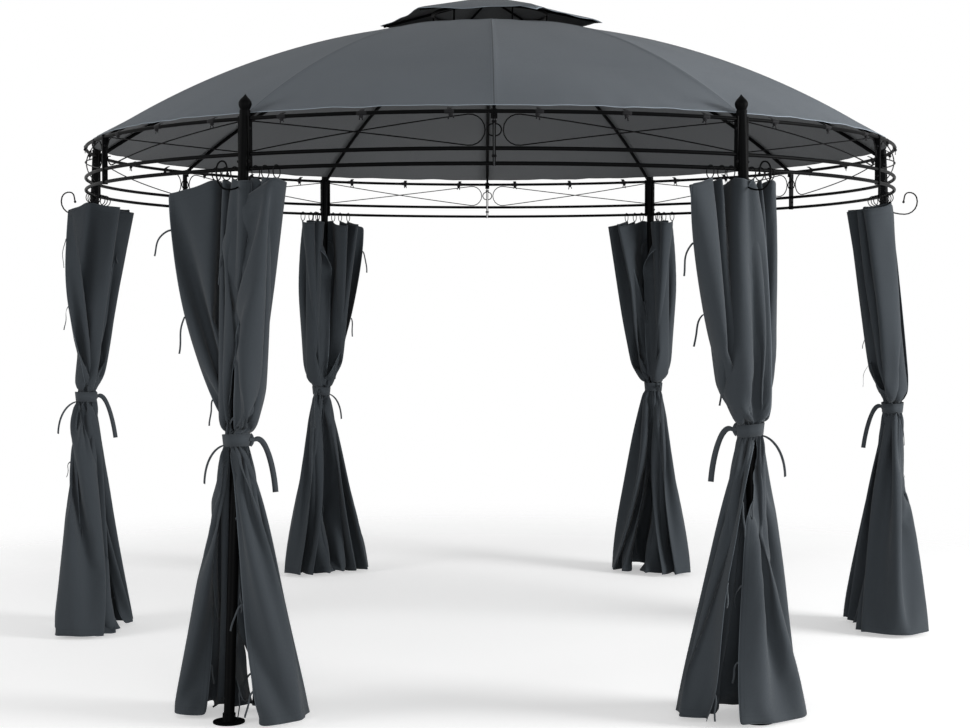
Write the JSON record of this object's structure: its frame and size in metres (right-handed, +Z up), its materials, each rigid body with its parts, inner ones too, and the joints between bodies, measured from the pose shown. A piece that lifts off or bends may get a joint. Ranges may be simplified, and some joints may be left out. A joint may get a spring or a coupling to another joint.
{
  "type": "round metal gazebo",
  "caption": "Round garden gazebo with leaning tube posts, a scrolled ring frame, a domed fabric roof with a raised vent cap, and tied curtains.",
  "frame": {"origin": "on the ground at the centre of the ring of posts", "axes": "+Z up, -Y towards the front bay, +X through the right-hand post"},
  "size_m": [3.9428, 3.52, 2.825],
  "materials": {
    "frame_metal": "satin black powder coat",
    "canopy_fabric": "woven coated polyester, mid grey",
    "curtain_fabric": "woven polyester, dark grey"
  },
  "bodies": {
    "root": {"post_front_left": "frame_metal", "post_front_right": "frame_metal", "post_right": "frame_metal", "post_back_right": "frame_metal", "post_back_left": "frame_metal", "post_left": "frame_metal", "finials": "frame_metal", "ring_panel_1": "frame_metal", "ring_panel_2": "frame_metal", "ring_panel_3": "frame_metal", "ring_panel_4": "frame_metal", "ring_panel_5": "frame_metal", "ring_panel_6": "frame_metal", "ring_panel_7": "frame_metal", "ring_panel_8": "frame_metal", "ring_panel_9": "frame_metal", "ring_panel_10": "frame_metal", "ring_panel_11": "frame_metal", "ring_panel_12": "frame_metal", "rib_1": "frame_metal", "rib_2": "frame_metal", "rib_3": "frame_metal", "rib_4": "frame_metal", "rib_5": "frame_metal", "rib_6": "frame_metal", "rib_7": "frame_metal", "rib_8": "frame_metal", "rib_9": "frame_metal", "rib_10": "frame_metal", "rib_11": "frame_metal", "rib_12": "frame_metal", "crown_hoop": "frame_metal", "vent_frame": "frame_metal", "roof_canopy": "canopy_fabric", "vent_canopy": "canopy_fabric", "curtain_front_left": "curtain_fabric", "curtain_front_right": "curtain_fabric", "curtain_right": "curtain_fabric", "curtain_back_right": "curtain_fabric", "curtain_back_left": "curtain_fabric", "curtain_left": "curtain_fabric", "curtain_rings": "frame_metal", "tiebacks": "curtain_fabric", "lantern_hooks": "frame_metal"}
  },
  "joints": []
}
